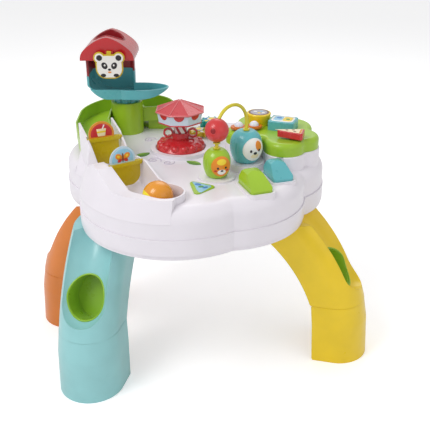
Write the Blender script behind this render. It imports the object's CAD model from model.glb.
import math

import bmesh
import bpy
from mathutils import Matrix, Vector
from mathutils.bvhtree import BVHTree


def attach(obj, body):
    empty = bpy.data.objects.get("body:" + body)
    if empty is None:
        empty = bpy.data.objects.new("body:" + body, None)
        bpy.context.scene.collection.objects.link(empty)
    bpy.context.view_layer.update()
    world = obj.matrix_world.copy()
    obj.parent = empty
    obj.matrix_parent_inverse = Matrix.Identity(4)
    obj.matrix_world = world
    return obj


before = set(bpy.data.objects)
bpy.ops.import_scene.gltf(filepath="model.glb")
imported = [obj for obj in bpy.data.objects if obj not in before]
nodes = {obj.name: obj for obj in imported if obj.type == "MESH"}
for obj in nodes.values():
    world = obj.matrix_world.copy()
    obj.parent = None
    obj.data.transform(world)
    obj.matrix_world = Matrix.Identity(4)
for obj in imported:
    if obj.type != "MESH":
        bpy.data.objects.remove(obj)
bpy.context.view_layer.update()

# ---------------------------------------------------------------- body shells
# Two white injection-moulded shells: a shallow tray underneath and the cloud-shaped top.
# They meet at a parting line and are screwed together from below. The white is faintly lilac.


# the frame's origin is under the middle of the whole object, which the top's plan is off by this
top_x, top_y = -4.716, 4.7


def place(x, y, z):
    """A point given in millimetres from the middle of the table top's plan, z from the floor."""
    return Vector(((x + top_x) / 1000, (y + top_y) / 1000, z / 1000))


def skin_of(name):
    """The surface of a node, for laying prints and rims onto it."""
    mesh = nodes[name].data
    return BVHTree.FromPolygons([v.co for v in mesh.vertices], [f.vertices for f in mesh.polygons])


def link(tree, source, output, target, socket):
    tree.links.new(source.outputs[output], target.inputs[socket])


def moulded(name, colour, rough=0.30, deeper=0.90, coat=0.25, peel=0.10, rounding=0.0008):
    """Moulded plastic: mottled colour, uneven gloss, orange peel and softened edges."""
    mat = bpy.data.materials.new(name)
    mat.use_nodes = True
    tree = mat.node_tree
    shader = tree.nodes["Principled BSDF"]
    shader.inputs["Coat Weight"].default_value = coat
    shader.inputs["Coat Roughness"].default_value = 0.12
    shader.inputs["IOR"].default_value = 1.48
    coords = tree.nodes.new("ShaderNodeTexCoord")
    flow = tree.nodes.new("ShaderNodeTexNoise")
    flow.inputs["Scale"].default_value = 14
    flow.inputs["Detail"].default_value = 4
    link(tree, coords, "Object", flow, "Vector")
    mottle = tree.nodes.new("ShaderNodeValToRGB")
    mottle.color_ramp.elements[0].position = 0.35
    mottle.color_ramp.elements[1].position = 0.65
    mottle.color_ramp.elements[0].color = (*[c * deeper for c in colour], 1)
    mottle.color_ramp.elements[1].color = (*colour, 1)
    link(tree, flow, "Fac", mottle, "Fac")
    link(tree, mottle, "Color", shader, "Base Color")
    scuff = tree.nodes.new("ShaderNodeTexNoise")
    scuff.inputs["Scale"].default_value = 55
    scuff.inputs["Detail"].default_value = 6
    link(tree, coords, "Object", scuff, "Vector")
    gloss = tree.nodes.new("ShaderNodeMapRange")
    gloss.inputs["To Min"].default_value = rough - 0.07
    gloss.inputs["To Max"].default_value = rough + 0.09
    link(tree, scuff, "Fac", gloss, "Value")
    link(tree, gloss, "Result", shader, "Roughness")
    skin = tree.nodes.new("ShaderNodeTexNoise")
    skin.inputs["Scale"].default_value = 700
    skin.inputs["Detail"].default_value = 2
    link(tree, coords, "Object", skin, "Vector")
    edge = tree.nodes.new("ShaderNodeBevel")
    edge.inputs["Radius"].default_value = rounding
    bump = tree.nodes.new("ShaderNodeBump")
    bump.inputs["Strength"].default_value = peel
    bump.inputs["Distance"].default_value = 0.0002
    link(tree, skin, "Fac", bump, "Height")
    link(tree, edge, "Normal", bump, "Normal")
    link(tree, bump, "Normal", shader, "Normal")
    return mat


def rgb(red, green, blue):
    """A colour written as it looks on screen, in 0 to 255, turned to the light it stands for."""
    return tuple(
        ((v / 255 + 0.055) / 1.055) ** 2.4 if v > 10 else v / 3295 for v in (red, green, blue)
    )


def dress(material, *names):
    for name in names:
        mesh = nodes[name].data
        mesh.materials.clear()
        mesh.materials.append(material)


white = moulded("white_body", rgb(238, 233, 240), rough=0.34, deeper=0.965, rounding=0.0012)
dress(white, "deck_shell", "base_shell", "battery_door", "gear_pins")


def tube(name, points, radius, material, body, cyclic=False):
    """A bead or strip of round section along a line of points."""
    curve = bpy.data.curves.new(name, "CURVE")
    curve.dimensions = "3D"
    curve.bevel_depth = radius / 1000
    curve.bevel_resolution = 3
    curve.use_fill_caps = True
    spline = curve.splines.new("POLY")
    spline.points.add(len(points) - 1)
    for dot, co in zip(spline.points, points):
        dot.co = (*co, 1)
    spline.use_cyclic_u = cyclic
    curve.materials.append(material)
    piece = bpy.data.objects.new(name, curve)
    bpy.context.scene.collection.objects.link(piece)
    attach(piece, body)
    return piece


# Four raised curls, like tendrils of a vine, are moulded into the deck beside the carousel.
vine_white = moulded("vine_relief", rgb(208, 200, 216), rough=0.4)
deck_up = 355.0
for number, (x, y, turn, size, flip) in enumerate(
    ((-75, -18, -20, 15, 1), (-48, -30, 25, 12, -1), (-92, 92, 10, 14, 1), (-62, 104, -30, 11, -1))
):
    curl = []
    for step in range(46):
        angle = 0.22 * step
        reach = size * math.exp(-0.17 * angle)
        around = flip * angle + math.radians(turn)
        curl.append(place(x + reach * math.cos(around), y + reach * math.sin(around), deck_up))
    tube(f"vine_{number}", curl, 1.0, vine_white, "table")

# ---------------------------------------------------------------- legs
# Three bowed open-backed legs of gloss plastic, each with an oval lime cup pressed into a hollow
# down its front and a wider foot below a seam. A tongue on each leg's top enters the tray.
leg_colours = {
    "front": moulded("aqua_leg", rgb(150, 208, 210), rough=0.30, rounding=0.0015),
    "left": moulded("orange_leg", rgb(222, 124, 34), rough=0.30, rounding=0.0015),
    "right": moulded("yellow_leg", rgb(244, 208, 24), rough=0.30, rounding=0.0015),
}
rim_colours = {
    "front": moulded("aqua_rim", rgb(176, 222, 222), rough=0.26),
    "left": moulded("orange_rim", rgb(232, 146, 62), rough=0.26),
    "right": moulded("yellow_rim", rgb(248, 220, 70), rough=0.26),
}
lime = moulded("lime_plastic", rgb(163, 202, 44), rough=0.30, rounding=0.0012)
cup_lime = moulded("cup_lime", rgb(150, 196, 46), rough=0.28)
# each foot's middle, the way it faces in degrees, and how far the open back reaches inward
leg_places = {
    "front": (-180, -188, -14, 113),
    "left": (-250, 22, -112, 88),
    "right": (259, -86, 76, 165),
}
bend, lean, seam_up, tray_up = 330.0, math.radians(17), 115, 268
pivot_out, pivot_up = -bend * math.cos(lean), seam_up - bend * math.sin(lean)
back_from_bend, half_width, rim_round = 36, 51.2, 1.7
cup_angle, cup_across, cup_along = math.radians(26), 33.2, 39.2
hollow_from_bend, hollow_round, hollow_end, leg_round = 62, 46, math.radians(25), 53


def leg_point(leg, out, across, up):
    """A point of a leg: outward from its foot's middle, across it, and up from the floor."""
    x, y, azimuth, _ = leg_places[leg]
    turn = math.radians(azimuth - 90)
    return place(
        x + out * math.cos(turn) + across * math.sin(turn),
        y + out * math.sin(turn) - across * math.cos(turn),
        up,
    )


for leg in leg_places:
    dress(leg_colours[leg], leg + "_leg", leg + "_foot")
    dress(cup_lime, leg + "_cup")
    # the mouth's lip follows the oval where the cup meets the hollowed front
    lip = []
    for step in range(64):
        turn = math.tau * step / 64
        across = cup_across * math.cos(turn)
        along = cup_along * math.sin(turn)
        front = 27.0
        # the leg's front is found in a few steps out along the cup's own axis
        for _ in range(12):
            out = (bend + front) * math.cos(cup_angle) - along * math.sin(cup_angle)
            up = (bend + front) * math.sin(cup_angle) + along * math.cos(cup_angle)
            around, reach = math.atan2(up, out), math.hypot(up, out) - bend
            past = (bend + hollow_from_bend) * (around - hollow_end) if around < hollow_end else 0
            side = math.sqrt(max(hollow_round**2 - past**2 - across**2, 0))
            hollow = hollow_from_bend - side if side > 0 else 99
            skin = math.sqrt(leg_round**2 - across**2)
            front += min(hollow, skin) - reach
        lip.append(
            leg_point(
                leg,
                pivot_out + (bend + front) * math.cos(cup_angle) - along * math.sin(cup_angle),
                across,
                pivot_up + (bend + front) * math.sin(cup_angle) + along * math.cos(cup_angle),
            )
        )
    tube(leg + "_cup_lip", lip, 1.5, cup_lime, "table", cyclic=True)
    # a thin paler strip runs down both edges of the open back, over leg and foot
    reach_in = leg_places[leg][3]
    for side, sign in (("a", -1), ("b", 1)):
        edge_line = []
        for step in range(60):
            angle = math.radians(14 + 46 * step / 59)
            out = pivot_out + (bend - back_from_bend) * math.cos(angle)
            up = pivot_up + (bend - back_from_bend) * math.sin(angle)
            if seam_up + 1 < up < tray_up and out > -reach_in:
                edge_line.append(leg_point(leg, out, sign * half_width, up))
        tube(f"{leg}_leg_edge_{side}", edge_line, rim_round, rim_colours[leg], "table")
        foot_line = [
            leg_point(leg, -28, sign * 55.0, 2),
            leg_point(leg, -32, sign * 54.2, 76),
            leg_point(leg, -35.8, sign * 51.8, 113),
        ]
        tube(f"{leg}_foot_edge_{side}", foot_line, rim_round, rim_colours[leg], "table")

# ---------------------------------------------------------------- spiral slide and tower
# A lime trough curls down round a lime column and leans towards the white run. On the column
# stands an aqua tub with a spoon-shaped mouth.
dress(lime, "spiral_slide", "tower_column")
aqua = moulded("aqua_plastic", rgb(98, 184, 192), rough=0.28, rounding=0.0012)
dress(aqua, "tower_chute")

# ---------------------------------------------------------------- ball run
# One white moulding with wavy walls, a sloping floor and a round basin at its end. It stands in
# the deck's front left, and its walls are notched for the gates' bars.
dress(white, "ball_ramp")

# ---------------------------------------------------------------- house
# Dark red moulded walls stand on the tub, under a glossy red bell-shaped roof with a round hole
# that takes the ball. The pins, screws and battery contacts are bright steel.
roof_red = moulded("roof_red", rgb(196, 34, 40), rough=0.22, coat=0.5, rounding=0.0015)
dark_red = moulded("dark_red_plastic", rgb(150, 26, 34), rough=0.32)
dress(dark_red, "house_walls")
dress(roof_red, "house_roof")
steel = moulded("steel", rgb(190, 190, 194), rough=0.25)
steel.node_tree.nodes["Principled BSDF"].inputs["Metallic"].default_value = 1.0
dress(steel, "bear_pin", "carousel_spindle", "battery_contacts", "housing_screws")


def round_hole(turn, reach, up):
    """A point round the roof's hole, at a distance out from its middle."""
    return place(-166 + reach * math.cos(turn), 150 + reach * math.sin(turn), up)


# the hole's rim follows the bell, and a dark red sleeve lines it down to the ceiling
roof_skin = skin_of("house_roof")
hole_round, ceiling_up, above_roof = 29.4, 517, 620
hole_turns = [math.tau * step / 48 for step in range(48)]
rim = [
    roof_skin.ray_cast(round_hole(turn, hole_round, above_roof), Vector((0, 0, -1)))[0]
    for turn in hole_turns
]
tube("roof_hole_rim", rim, 1.3, dark_red, "table", cyclic=True)
form = bmesh.new()
rings = []
for reach, high in ((28.2, False), (28.2, True), (26.8, True), (26.8, False)):
    ring = []
    for turn, top in zip(hole_turns, rim):
        foot = round_hole(turn, reach, ceiling_up)
        ring.append(form.verts.new((foot.x, foot.y, top.z - 0.0005 if high else foot.z)))
    rings.append(ring)
for near, far in zip(rings, [*rings[1:], rings[0]]):
    for step in range(48):
        after = (step + 1) % 48
        form.faces.new((near[step], near[after], far[after], far[step]))
bmesh.ops.recalc_face_normals(form, faces=form.faces)
sleeve_mesh = bpy.data.meshes.new("roof_sleeve")
form.to_mesh(sleeve_mesh)
form.free()
sleeve_mesh.materials.append(dark_red)
sleeve = bpy.data.objects.new("roof_sleeve", sleeve_mesh)
bpy.context.scene.collection.objects.link(sleeve)
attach(sleeve, "table")

# ---------------------------------------------------------------- bear sign
# A yellow moulded plate hangs from a steel pin under the roof's front and swings. A thin white
# face is let into it, and its features are printed on.


def inlay(name, outline, onto, material, body, thick=0.35):
    """A thin printed patch: an outline filled in rings towards its middle, laid onto a surface."""
    mesh = bpy.data.meshes.new(name)
    form = bmesh.new()
    count = len(outline)
    mid_u, mid_v = sum(p[0] for p in outline) / count, sum(p[1] for p in outline) / count
    sunk = -0.25
    rings = []
    for share, lift in (
        (1.0, sunk),
        (1.0, thick * 0.7),
        (0.985, thick),
        (0.75, thick),
        (0.5, thick),
        (0.25, thick),
    ):
        drawn = [(mid_u + share * (u - mid_u), mid_v + share * (v - mid_v)) for u, v in outline]
        rings.append([form.verts.new(onto(u, v, lift)) for u, v in drawn])
    for inner, outer in zip(rings[1:], rings):
        for k in range(count):
            form.faces.new((outer[k], outer[(k + 1) % count], inner[(k + 1) % count], inner[k]))
    top = form.verts.new(onto(mid_u, mid_v, thick))
    under = form.verts.new(onto(mid_u, mid_v, sunk))
    for k in range(count):
        form.faces.new((rings[-1][k], rings[-1][(k + 1) % count], top))
        form.faces.new((rings[0][(k + 1) % count], rings[0][k], under))
    bmesh.ops.recalc_face_normals(form, faces=form.faces)
    form.to_mesh(mesh)
    form.free()
    for face in mesh.polygons:
        face.use_smooth = True
    mesh.materials.append(material)
    piece = bpy.data.objects.new(name, mesh)
    bpy.context.scene.collection.objects.link(piece)
    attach(piece, body)
    return piece


def oval(u, v, wide, tall, turn=0.0, power=2.0, count=36):
    """An ellipse, or with a higher power a rounded rectangle, as a list of points."""
    points = []
    for k in range(count):
        angle = math.tau * k / count
        a = math.copysign(abs(math.cos(angle)) ** (2 / power), math.cos(angle)) * wide
        b = math.copysign(abs(math.sin(angle)) ** (2 / power), math.sin(angle)) * tall
        c, s = math.cos(math.radians(turn)), math.sin(math.radians(turn))
        points.append((u + a * c - b * s, v + a * s + b * c))
    return points


def printed(name, colour):
    """Ink on a label, with a finer skin and a tighter edge than the plastic round it."""
    return moulded(name, colour, rough=0.35, peel=0.05, rounding=0.0002)


yellow = moulded("yellow_plastic", rgb(214, 184, 26), rough=0.28, rounding=0.001)
print_white = printed("print_white", rgb(246, 244, 240))
print_black = printed("print_black", rgb(34, 30, 36))
print_orange = printed("print_orange", rgb(236, 142, 30))
print_sky = printed("print_sky", rgb(150, 206, 232))
print_blue = printed("print_blue", rgb(60, 130, 205))
print_green = printed("print_green", rgb(70, 150, 60))
print_yellow = printed("print_yellow", rgb(246, 216, 50))
print_cream = printed("print_cream", rgb(250, 232, 190))
print_brown = printed("print_brown", rgb(120, 72, 36))
print_red = printed("print_red", rgb(206, 44, 48))
print_grey = printed("print_grey", rgb(176, 172, 182))
dress(yellow, "bear_plate")
dress(print_white, "bear_face")


sides = (("left", -1), ("right", 1))


def on_bear(u, v, lift):
    """The bear sign's front, from the middle of its face."""
    return place(-160 + u, 89.2 - lift, 499 + v)


for label, side in sides:
    inlay(f"bear_ear_{label}", oval(side * 17.8, 16.4, 5.4, 5.2), on_bear, print_black, "bear")
    patch = oval(side * 9, 2, 5.2, 6.6, side * -28)
    inlay(f"bear_patch_{label}", patch, on_bear, print_black, "bear")
    inlay(f"bear_eye_{label}", oval(side * 8.4, 2.8, 1.7, 1.9), on_bear, print_white, "bear", 0.6)
    inlay(f"bear_paw_{label}", oval(side * 12, -16, 5.0, 3.2), on_bear, print_black, "bear")
inlay("bear_nose", oval(0, -5.2, 3.0, 2.0), on_bear, print_black, "bear", 0.6)
inlay("bear_mouth", oval(0, -10, 3.4, 1.3), on_bear, print_orange, "bear", 0.5)

# ---------------------------------------------------------------- gates
# Each gate is a yellow moulded paddle that hangs from a bar in notches across the run. A flat
# disc stands on the bar, with a picture printed on both sides.
gate_yellow = moulded("gate_yellow", rgb(206, 182, 24), rough=0.26, rounding=0.0008)
dress(gate_yellow, "upper_gate", "lower_gate")
disc_gold = moulded("disc_gold", rgb(232, 150, 40), rough=0.3)
disc_pale = moulded("disc_pale", rgb(196, 222, 238), rough=0.3)
dress(disc_gold, "upper_gate_disc")
dress(disc_pale, "lower_gate_disc")


half_disc = 1.2


def on_gate(at, turn, up, face):
    """The face of a gate's disc, from the disc's middle."""
    c, s = math.cos(math.radians(turn)), math.sin(math.radians(turn))

    def onto(u, v, lift):
        off = face * (half_disc + lift)
        return place(at[0] + u * c + off * s, at[1] + u * s - off * c, up + v)

    return onto


dome = [(19 * math.cos(math.pi * k / 20), 19 * math.sin(math.pi * k / 20)) for k in range(21)]
field = [(18.4, -3.6), *dome, (-18.4, -3.6)]
for face, label in ((1, "front"), (-1, "back")):
    # a cup with a straw on the upper gate
    onto, body = on_gate((-158.5, -59.2), 26, 419, face), "upper_gate_body"
    cup = [(-8.5, 10), (-6.5, -3.2), (6.5, -3.2), (8.5, 10)]
    band = [(-7.9, 6), (-7.4, 3), (7.4, 3), (7.9, 6)]
    straw = [(1, 10), (3.4, 10), (6.5, 16.2), (4.4, 16.8)]
    inlay(f"cup_field_{label}", field, onto, print_red, body)
    inlay(f"cup_{label}", cup, onto, print_cream, body, 0.6)
    inlay(f"cup_band_{label}", band, onto, print_yellow, body, 0.8)
    inlay(f"cup_straw_{label}", straw, onto, print_white, body, 0.7)
    # a butterfly on the lower gate
    onto, body = on_gate((-115.7, -122.9), 32, 397, face), "lower_gate_body"
    inlay(f"moth_field_{label}", field, onto, print_sky, body)
    for hand, side in sides:
        wing = oval(side * 7, 6.2, 6.6, 5.0, side * 35)
        spot = oval(side * 7.6, 6.6, 2.6, 2.0, side * 35)
        low_wing = oval(side * 5.4, -0.4, 4.4, 2.8, side * -25)
        inlay(f"wing_{hand}_{label}", wing, onto, print_orange, body, 0.6)
        inlay(f"wing_spot_{hand}_{label}", spot, onto, print_yellow, body, 0.7)
        inlay(f"wing_low_{hand}_{label}", low_wing, onto, print_red, body, 0.6)
    inlay(f"moth_{label}", oval(0, 4, 1.4, 8.0), onto, print_brown, body, 0.9)

# ---------------------------------------------------------------- carousel
# A red bumpy dome, a red hub with two loops, a candy-striped column and an eight-sided canopy
# turn as one on a steel spindle inside the white collar.
red = moulded("red_plastic", rgb(208, 42, 48), rough=0.26, coat=0.4, rounding=0.0012)
dress(red, "carousel_base", "carousel_hub")
canopy_red = moulded("canopy_red", rgb(206, 66, 74), rough=0.28, coat=0.4, rounding=0.001)
dress(canopy_red, "carousel_roof")
valance = moulded("valance_print", rgb(214, 228, 242), rough=0.3, rounding=0.001)
dress(valance, "carousel_valance")
stripe = moulded("candy_stripe", rgb(240, 236, 232), rough=0.28)
carousel_x, carousel_y = -28, 38


def worked_out(tree, kind, operation):
    """A node that works a number or vector out of others."""
    node = tree.nodes.new(kind)
    node.operation = operation
    return node


def measured_from(tree, middle):
    """The place on a piece, measured from a point of its own."""
    coords = tree.nodes.new("ShaderNodeTexCoord")
    shift = worked_out(tree, "ShaderNodeVectorMath", "SUBTRACT")
    shift.inputs[1].default_value = middle
    link(tree, coords, "Object", shift, 0)
    return shift


def two_tone(material, source, low, high, first, second):
    """Two colours that meet in a narrow edge, where the source's value rises from low to high."""
    tree = material.node_tree
    meet = tree.nodes.new("ShaderNodeMapRange")
    meet.inputs["From Min"].default_value = low
    meet.inputs["From Max"].default_value = high
    link(tree, source, "Value", meet, "Value")
    mix = tree.nodes.new("ShaderNodeMix")
    mix.data_type = "RGBA"
    mix.inputs["A"].default_value = (*first, 1)
    mix.inputs["B"].default_value = (*second, 1)
    link(tree, meet, "Result", mix, "Factor")
    link(tree, mix, "Result", tree.nodes["Principled BSDF"], "Base Color")


# the column's stripes are a sine of the angle round it plus the height up it
tree = stripe.node_tree
split = tree.nodes.new("ShaderNodeSeparateXYZ")
link(tree, measured_from(tree, place(carousel_x, carousel_y, 0)), "Vector", split, "Vector")
around = worked_out(tree, "ShaderNodeMath", "ARCTAN2")
link(tree, split, "Y", around, 0)
link(tree, split, "X", around, 1)
climb = worked_out(tree, "ShaderNodeMath", "MULTIPLY_ADD")
climb.inputs[1].default_value = 45.0
link(tree, split, "Z", climb, 0)
link(tree, around, "Value", climb, 2)
turns = worked_out(tree, "ShaderNodeMath", "MULTIPLY")
turns.inputs[1].default_value = 6.0
link(tree, climb, "Value", turns, 0)
wave = worked_out(tree, "ShaderNodeMath", "SINE")
link(tree, turns, "Value", wave, 0)
two_tone(stripe, wave, 0.05, 0.25, rgb(240, 236, 232), rgb(184, 30, 44))
dress(stripe, "carousel_column")
ridge_red = moulded("ridge_red", rgb(228, 120, 124), rough=0.26)


def round_carousel(reach, angle, up):
    """A point round the carousel's spindle."""
    return place(carousel_x + reach * math.cos(angle), carousel_y + reach * math.sin(angle), up)


def on_canopy(face):
    """One of the canopy's eight leaning sides, from the middle of its top edge."""
    angle = math.radians(45 * face)

    def onto(u, v, lift):
        out = 0.9239 * (44 + 3 * v / 19) + lift
        return place(
            carousel_x + out * math.cos(angle) - u * math.sin(angle),
            carousel_y + out * math.sin(angle) + u * math.cos(angle),
            431.3 + v,
        )

    return onto


corners = [math.radians(22.5 + 45 * k) for k in range(8)]
half_turn = [math.pi * k / 18 for k in range(19)]
scallop = [(9.5 * math.cos(turn), -9.5 * math.sin(turn) - 0.1) for turn in half_turn]
for face, corner in enumerate(corners):
    inlay(f"scallop_{face}", scallop, on_canopy(face), red, "carousel", 0.6)
    ridge = [round_carousel(45.4, corner, 434.0), round_carousel(5, corner, 450.1)]
    tube(f"roof_ridge_{face}", ridge, 1.0, ridge_red, "carousel")
for name, reach, up, size, mat in (
    ("valance_rim", 41.2, 412.6, 1.2, red),
    ("roof_rim", 45.9, 432.6, 1.5, ridge_red),
):
    ring = [round_carousel(reach, corner, up) for corner in corners]
    tube(name, ring, size, mat, "carousel", cyclic=True)

# ---------------------------------------------------------------- spinning drums
# Two moulded barrels with shallow flutes turn on the legs of the arch. Each has a raised oval
# animal face let into its front, with printed features.
dress(lime, "lion_drum")
dress(aqua, "dog_drum")
dress(print_orange, "lion_face")
dress(print_white, "dog_face")


lion_at, dog_at = (39, -97), (90, -48)


def on_drum(name, at, middle_up, radius, facing):
    """The raised face of a barrel, from the middle of its height, u to its left-hand side."""
    face_skin = skin_of(name)

    def onto(u, v, lift):
        angle = math.radians(facing) + u / radius
        outward = Vector((math.cos(angle), math.sin(angle), 0))
        level_up = place(at[0], at[1], middle_up + v)
        return face_skin.ray_cast(level_up + outward * 0.06, -outward)[0] + outward * lift / 1000

    return onto


on_lion = on_drum("lion_face", lion_at, 382.3, 23.5, -70)
inlay("lion_muzzle", oval(0, -9, 7.0, 4.6), on_lion, print_white, "lion")
inlay("lion_nose", oval(0, -6.4, 2.2, 1.6), on_lion, print_black, "lion", 0.8)
inlay("lion_brow", oval(0, 8.5, 8.0, 5.0), on_lion, print_yellow, "lion", 0.3)
for label, side in sides:
    inlay(f"lion_eye_{label}", oval(side * 6.4, -1.6, 1.6, 2.0), on_lion, print_black, "lion", 0.6)
    inlay(f"lion_cheek_{label}", oval(side * 10, -6.4, 2.4, 1.8), on_lion, print_red, "lion", 0.3)
on_dog = on_drum("dog_face", dog_at, 394.8, 28, -60)
inlay("dog_patch", oval(7, 6.5, 6.2, 9.0, 12), on_dog, print_orange, "dog")
inlay("dog_nose", oval(0, -5.5, 3.0, 2.4), on_dog, print_black, "dog", 0.8)
inlay("dog_muzzle", oval(0, -10.8, 7.4, 4.2), on_dog, print_cream, "dog", 0.3)
for label, side in sides:
    inlay(f"dog_eye_{label}", oval(side * 7.5, -1.0, 1.8, 2.5), on_dog, print_black, "dog", 0.8)

# ---------------------------------------------------------------- bead arch
# A bent rod with a yellow powder coat stands in both turrets and carries the drums. A red
# moulded bead with a dimple slides along it between two stop collars.
wire = moulded("wire_yellow", rgb(222, 206, 40), rough=0.22, coat=0.6)
dress(wire, "arch_wire")
bead_red = moulded("bead_red", rgb(214, 56, 58), rough=0.3, rounding=0.0006)
dress(bead_red, "arch_bead")


bead_round, bead_up = 20, 438.6


def on_bead(u, v, lift):
    """The bead's front, from the middle of its dimple."""
    turn, tilt = math.radians(-108) + u / bead_round, math.radians(12) + v / bead_round
    reach = bead_round + lift
    return place(
        lion_at[0] + reach * math.cos(tilt) * math.cos(turn),
        lion_at[1] + reach * math.cos(tilt) * math.sin(turn),
        bead_up + reach * math.sin(tilt),
    )


dimple_red = moulded("dimple_red", rgb(150, 20, 28), rough=0.4, rounding=0.0002)
inlay("bead_dimple", oval(0, 0, 4.4, 4.4), on_bead, dimple_red, "bead", 0.15)
round_turn = [math.tau * k / 32 for k in range(32)]
dimple_rim = [on_bead(5.0 * math.cos(turn), 5.0 * math.sin(turn), 0.1) for turn in round_turn]
tube("bead_dimple_rim", dimple_rim, 0.7, bead_red, "bead", cyclic=True)

# ---------------------------------------------------------------- pedal keys
# Two hollow sloping keys, one lime and one aqua, rock in sockets at the deck's front and land on
# grey rubber stops.
dress(lime, "lime_key")
dress(aqua, "aqua_key")
rubber = moulded("rubber_grey", rgb(96, 96, 102), rough=0.7, coat=0.0, peel=0.3)
dress(rubber, "key_pads", "button_mat")

# ---------------------------------------------------------------- badge and leaves
# A rounded lime triangle with a printed pond and two green leaves are thin plates glued flat
# onto the deck.
dress(lime, "pond_badge")


def on_deck(x, y, turn, up):
    """A flat top, from a point on it."""
    c, s = math.cos(math.radians(turn)), math.sin(math.radians(turn))

    def onto(u, v, lift):
        return place(x + u * c - v * s, y + u * s + v * c, up + lift)

    return onto


on_badge = on_deck(12, -143, 0, 357)
pond = [
    (-14, 20),
    (-9, 4),
    (-6.5, -10),
    (-2, -22),
    (2, -23),
    (10, -12),
    (18, 0),
    (17, 5),
    (4, 11),
    (-9, 21),
]
inlay("pond_water", pond, on_badge, print_sky, "table", 0.3)
inlay("pond_deep", oval(-4, 9, 6.0, 4.0, -30), on_badge, print_blue, "table", 0.45)
inlay("pond_deep_low", oval(8, -3, 5.0, 3.2, 40), on_badge, print_blue, "table", 0.45)
inlay("pond_leaf", oval(1, 0, 4.6, 3.4, 20), on_badge, print_green, "table", 0.6)
leaf_green = moulded("leaf_green", rgb(96, 148, 52), rough=0.32)
leaf_light = moulded("leaf_light", rgb(140, 186, 66), rough=0.32)
dress(leaf_green, "leaf_plates")
for number, ((x, y), turn) in enumerate((((-97, 9), 35), ((-2, -32), -30))):
    onto = on_deck(x, y, turn, 356.6)
    half = [(-13 + 26 * k / 12, 5.6 * math.sin(math.pi * k / 12)) for k in range(13)]
    inlay(f"leaf_half_{number}", half, onto, leaf_light, "table", 0.35)
    tube(f"leaf_rib_{number}", [onto(-14, 0, 0.2), onto(14, 0, 0.2)], 0.5, leaf_light, "table")

# ---------------------------------------------------------------- panel of buttons
# A lime cloud-shaped cover clips over the raised pedestal. Four moulded buttons with printed
# tops stand out of it: a drum, a book, a slice and a butterfly with two milky domes.
dress(lime, "panel_cover")
drum_yellow = moulded("drum_yellow", rgb(250, 216, 28), rough=0.24, coat=0.4, rounding=0.001)
dress(drum_yellow, "drum_button")
dress(aqua, "book_button")
dress(red, "slice_button")
orange = moulded("orange_plastic", rgb(218, 116, 34), rough=0.26, rounding=0.001)
dress(orange, "butterfly_button")
frosted = moulded("clear_dome", rgb(240, 234, 242), rough=0.35)
frosted.node_tree.nodes["Principled BSDF"].inputs["Subsurface Weight"].default_value = 0.2
dress(frosted, "butterfly_domes")
on_drum_top = on_deck(117, 47, 0, 425)
inlay("drum_ring", oval(0, 0, 19, 19), on_drum_top, print_brown, "drum_button_body", 0.4)
inlay("drum_skin", oval(0, 0, 15.6, 15.6), on_drum_top, print_grey, "drum_button_body", 0.6)
for number, (u, v, mat) in enumerate(
    ((-6, 3, print_white), (5, 4, print_sky), (0, -6, print_yellow), (8, -4, print_white))
):
    note = oval(u, v, 3.6, 2.8, 30 * number)
    inlay(f"drum_note_{number}", note, on_drum_top, mat, "drum_button_body", 0.8)
on_book = on_deck(160, 22, -20, 420)
inlay("book_page", oval(0, 0, 20.5, 16.5, 0, 5), on_book, print_white, "book_button_body", 0.4)
inlay("book_left", oval(-8.5, 0, 8.4, 12.5, 0, 4), on_book, print_sky, "book_button_body", 0.6)
inlay("book_right", oval(8.8, 0, 8.4, 12.5, 0, 4), on_book, print_yellow, "book_button_body", 0.6)
inlay("book_cloud", oval(-8, 3, 5.0, 4.0), on_book, print_blue, "book_button_body", 0.8)
inlay("book_apple", oval(9, -1, 3.6, 3.8), on_book, print_green, "book_button_body", 0.8)
on_slice = on_deck(167, -38, -10, 418)
icing = [(-27, 1.6), (19.5, -13.6), (22, 11.6)]
crust = [(15.5, -11.0), (19.0, -12.4), (21.2, 9.8), (17.6, 8.8)]
inlay("slice_icing", icing, on_slice, print_cream, "slice_button_body", 0.5)
inlay("slice_crust", crust, on_slice, print_orange, "slice_button_body", 0.7)
for number, (u, v) in enumerate(((-6, 1), (5, 3), (8, -5))):
    berry = oval(u, v, 2.6, 2.2)
    inlay(f"slice_berry_{number}", berry, on_slice, print_brown, "slice_button_body", 0.7)
for label, side in sides:
    onto = on_deck(93, 13, 8, 410)
    ring = [onto(side * 14 + 9.2 * math.cos(t), 9.2 * math.sin(t), 0.2) for t in round_turn]
    tube(f"wing_ring_{label}", ring, 0.8, orange, "butterfly_body", cyclic=True)

# ---------------------------------------------------------------- gears
# A low yellow gear with a printed flower and a tall teal one mesh and turn on white posts, whose
# heads carry a printed spot and don't turn.
dress(yellow, "yellow_gear")
teal = moulded("teal_plastic", rgb(40, 160, 156), rough=0.28)
dress(teal, "teal_gear")
flower_at, gear_gap, gear_way = (4, 114), 40, math.radians(52)
teal_at = (
    flower_at[0] + gear_gap * math.cos(gear_way),
    flower_at[1] + gear_gap * math.sin(gear_way),
)
on_flower = on_deck(*flower_at, 0, 368.3)
for petal in range(6):
    angle = math.tau * petal / 6
    inlay(
        f"petal_{petal}",
        oval(12 * math.cos(angle), 12 * math.sin(angle), 4.4, 3.2, math.degrees(angle)),
        on_flower,
        print_white if petal % 2 else print_green,
        "yellow_gear_body",
        0.4,
    )
on_teal = on_deck(*teal_at, 0, 379.3)
for petal in range(5):
    angle = math.tau * petal / 5
    inlay(
        f"teal_spot_{petal}",
        oval(12 * math.cos(angle), 12 * math.sin(angle), 4.0, 3.4, math.degrees(angle)),
        on_teal,
        print_yellow if petal % 2 else print_blue,
        "teal_gear_body",
        0.4,
    )
heart = oval(0, 0, 5.5, 5.5)
inlay("flower_heart", heart, on_deck(*flower_at, 0, 370.6), print_yellow, "table", 0.4)
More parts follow.
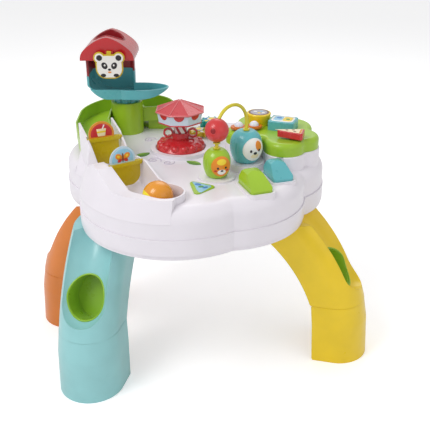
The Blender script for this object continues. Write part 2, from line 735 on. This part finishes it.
inlay("teal_heart", heart, on_deck(*teal_at, 0, 381.6), print_yellow, "table", 0.4)

# ---------------------------------------------------------------- inside the body
# The board, speaker, battery box and cells are screwed or clipped into the tray, and the switch
# slides in its underside. They have the plain finishes of such parts.
board = moulded("board_green", rgb(30, 100, 60), rough=0.45)
dress(board, "circuit_board")
black = moulded("black_plastic", rgb(36, 36, 40), rough=0.5)
dress(black, "speaker", "battery_box", "power_switch")
jacket = moulded("battery_jacket", rgb(62, 68, 78), rough=0.35)
dress(jacket, "batteries")

# ---------------------------------------------------------------- ball
# A hollow ball welded from two moulded halves, orange with a yellow cap. It lies loose in the
# run's basin.
ball = moulded("ball_plastic", rgb(230, 150, 36), rough=0.26, coat=0.4)
tree = ball.node_tree
towards = worked_out(tree, "ShaderNodeVectorMath", "DOT_PRODUCT")
towards.inputs[1].default_value = Vector((-0.72, -0.35, -0.6)).normalized()
link(tree, measured_from(tree, place(-55, -178, 356.05)), "Vector", towards, 0)
two_tone(ball, towards, 0.009, 0.0095, rgb(230, 150, 36), rgb(252, 232, 40))
dress(ball, "play_ball")

# ---------------------------------------------------------------- smooth shading
# The mouldings have soft curves, so the faces share their shading. The frame's own normals keep
# the hard edges hard.
for node in nodes.values():
    for face in node.data.polygons:
        face.use_smooth = True

# ---------------------------------------------------------------- floor, light and camera
# The table stands on a plain pale floor in soft studio light. To the camera the floor glows a
# little and the background is white, which adds no light to the table.
floor_mesh = bpy.data.meshes.new("floor")
floor_mesh.from_pydata([(-6, -6, 0), (6, -6, 0), (6, 6, 0), (-6, 6, 0)], [], [(0, 1, 2, 3)])
floor = bpy.data.objects.new("floor", floor_mesh)
bpy.context.scene.collection.objects.link(floor)
paper = bpy.data.materials.new("floor_paper")
paper.use_nodes = True
tree = paper.node_tree
matt = tree.nodes["Principled BSDF"]
matt.inputs["Base Color"].default_value = (0.92, 0.92, 0.93, 1)
matt.inputs["Roughness"].default_value = 0.9
glow = tree.nodes.new("ShaderNodeEmission")
glow.inputs["Color"].default_value = (1, 1, 1, 1)
seen = tree.nodes.new("ShaderNodeLightPath")
dim = worked_out(tree, "ShaderNodeMath", "MULTIPLY")
dim.inputs[1].default_value = 0.30
link(tree, seen, "Is Camera Ray", dim, 0)
link(tree, dim, "Value", glow, "Strength")
both = tree.nodes.new("ShaderNodeAddShader")
link(tree, matt, 0, both, 0)
link(tree, glow, 0, both, 1)
link(tree, both, 0, tree.nodes["Material Output"], "Surface")
floor_mesh.materials.append(paper)

for name, spot, size, power, aim in (
    ("key", (-1.3, -1.0, 2.2), 1.1, 25, (0, 0, 0.35)),
    ("fill", (1.8, -1.6, 1.3), 1.8, 5, (0, 0, 0.3)),
    ("back", (0.3, 1.7, 2.0), 1.4, 10, (0, 0, 0.35)),
):
    lamp = bpy.data.lights.new(name, "AREA")
    lamp.energy = power
    lamp.size = size
    bulb = bpy.data.objects.new(name, lamp)
    bulb.location = spot
    bulb.rotation_euler = (Vector(aim) - Vector(spot)).to_track_quat("-Z", "Y").to_euler()
    bpy.context.scene.collection.objects.link(bulb)

world = bpy.data.worlds.new("studio")
world.use_nodes = True
bpy.context.scene.world = world
tree = world.node_tree
sky = tree.nodes["Background"]
sky.inputs["Color"].default_value = (1, 1, 1, 1)
sky.inputs["Strength"].default_value = 0.62
bright = tree.nodes.new("ShaderNodeBackground")
bright.inputs["Color"].default_value = (1, 1, 1, 1)
bright.inputs["Strength"].default_value = 1.0
path = tree.nodes.new("ShaderNodeLightPath")
pick = tree.nodes.new("ShaderNodeMixShader")
link(tree, path, "Is Camera Ray", pick, "Fac")
link(tree, sky, 0, pick, 1)
link(tree, bright, 0, pick, 2)
link(tree, pick, 0, tree.nodes["World Output"], "Surface")

bpy.context.scene.view_settings.view_transform = "Standard"
lens = bpy.data.cameras.new("camera")
lens.lens = 57.1
lens.sensor_width = 36
camera = bpy.data.objects.new("camera", lens)
camera.location = (0.0313, -1.1653, 0.80)
camera.rotation_euler = (math.radians(64.3), 0, 0)
bpy.context.scene.collection.objects.link(camera)
bpy.context.scene.camera = camera

bpy.context.view_layer.update()
